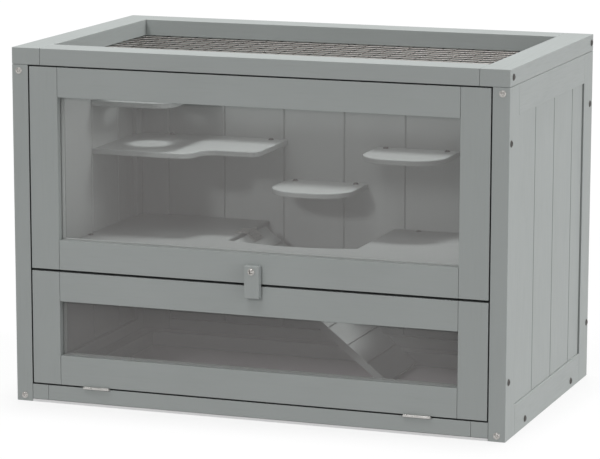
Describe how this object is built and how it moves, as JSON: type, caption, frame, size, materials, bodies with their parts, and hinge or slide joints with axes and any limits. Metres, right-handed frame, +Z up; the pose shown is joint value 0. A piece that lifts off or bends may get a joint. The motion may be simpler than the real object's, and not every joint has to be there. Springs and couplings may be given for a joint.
{
  "type": "hamster cage",
  "caption": "Two-storey wooden small-pet cage with clear front windows, a drop-down lower door on a turn button, a hinged wire-mesh lid, wall shelves and a hinged ramp.",
  "frame": {"origin": "centre of the overall box's underside, which is the underside of the bottom board", "axes": "+X to the right along the front, +Y from the front to the back, +Z up"},
  "size_m": [0.6036, 0.3766, 0.42],
  "materials": {
    "painted_wood": "grey paint, satin, faint grain",
    "hidden_wood": "grey paint, satin",
    "bottom_board": "pale coated board, matt",
    "clear_acrylic": "clear, polished",
    "hinge_steel": "plated, satin",
    "wire_mesh": "dark wire"
  },
  "bodies": {
    "case": {"left_front_post": "painted_wood", "left_rear_post": "painted_wood", "left_bottom_rail": "painted_wood", "left_top_rail": "painted_wood", "left_boards": "painted_wood", "right_front_post": "painted_wood", "right_rear_post": "painted_wood", "right_bottom_rail": "painted_wood", "right_top_rail": "painted_wood", "right_boards": "painted_wood", "back_left_stile": "painted_wood", "back_right_stile": "painted_wood", "back_bottom_rail": "painted_wood", "back_top_rail": "painted_wood", "back_boards": "painted_wood", "bottom_board": "bottom_board", "base_front_rail": "painted_wood", "base_rear_rail": "painted_wood", "base_left_rail": "painted_wood", "base_right_rail": "painted_wood", "front_left_stile": "painted_wood", "front_right_stile": "painted_wood", "front_bottom_rail": "painted_wood", "front_top_rail": "painted_wood", "front_window": "clear_acrylic", "upper_floor": "painted_wood", "floor_batten_left": "hidden_wood", "floor_batten_right": "hidden_wood", "wave_shelf": "painted_wood", "high_shelf": "painted_wood", "middle_shelf": "painted_wood", "right_shelf": "painted_wood", "wave_shelf_cleat": "hidden_wood", "middle_shelf_cleat": "hidden_wood", "right_shelf_cleat": "hidden_wood", "door_hinge_left_fixed": "hinge_steel", "door_hinge_right_fixed": "hinge_steel", "lid_hinge_left_fixed": "hinge_steel", "lid_hinge_right_fixed": "hinge_steel", "ramp_hinge_fixed": "hinge_steel", "turn_button_screw": "hinge_steel"},
    "lower_door": {"door_left_stile": "painted_wood", "door_right_stile": "painted_wood", "door_bottom_rail": "painted_wood", "door_top_rail": "painted_wood", "door_window": "clear_acrylic", "door_hinge_left_moving": "hinge_steel", "door_hinge_right_moving": "hinge_steel"},
    "turn_button": {"turn_button": "painted_wood"},
    "ramp": {"ramp": "painted_wood", "ramp_hinge_moving": "hinge_steel"},
    "lid": {"lid_left_rail": "painted_wood", "lid_right_rail": "painted_wood", "lid_front_rail": "painted_wood", "lid_back_rail": "painted_wood", "lid_mesh": "wire_mesh", "lid_hinge_left_moving": "hinge_steel", "lid_hinge_right_moving": "hinge_steel", "lid_left_screw": "hinge_steel", "lid_right_screw": "hinge_steel"}
  },
  "joints": [
    {"name": "lower_door_drop", "type": "hinge", "parent": "case", "child": "lower_door", "pos_m": [0, -0.17825, 0.02205], "axis": [1, 0, 0], "range_deg": [0, 98]},
    {"name": "turn_button_turn", "type": "hinge", "parent": "case", "child": "turn_button", "pos_m": [0, -0.18115, 0.1763], "axis": [0, 1, 0], "continuous": true},
    {"name": "ramp_lift", "type": "hinge", "parent": "case", "child": "ramp", "pos_m": [-0.104, 0.08795, 0.1716], "axis": [0, -1, 0], "range_deg": [0, 34.5]},
    {"name": "lid_open", "type": "hinge", "parent": "case", "child": "lid", "pos_m": [0, 0.18635, 0.40015], "axis": [-1, 0, 0], "range_deg": [0, 110]}
  ]
}
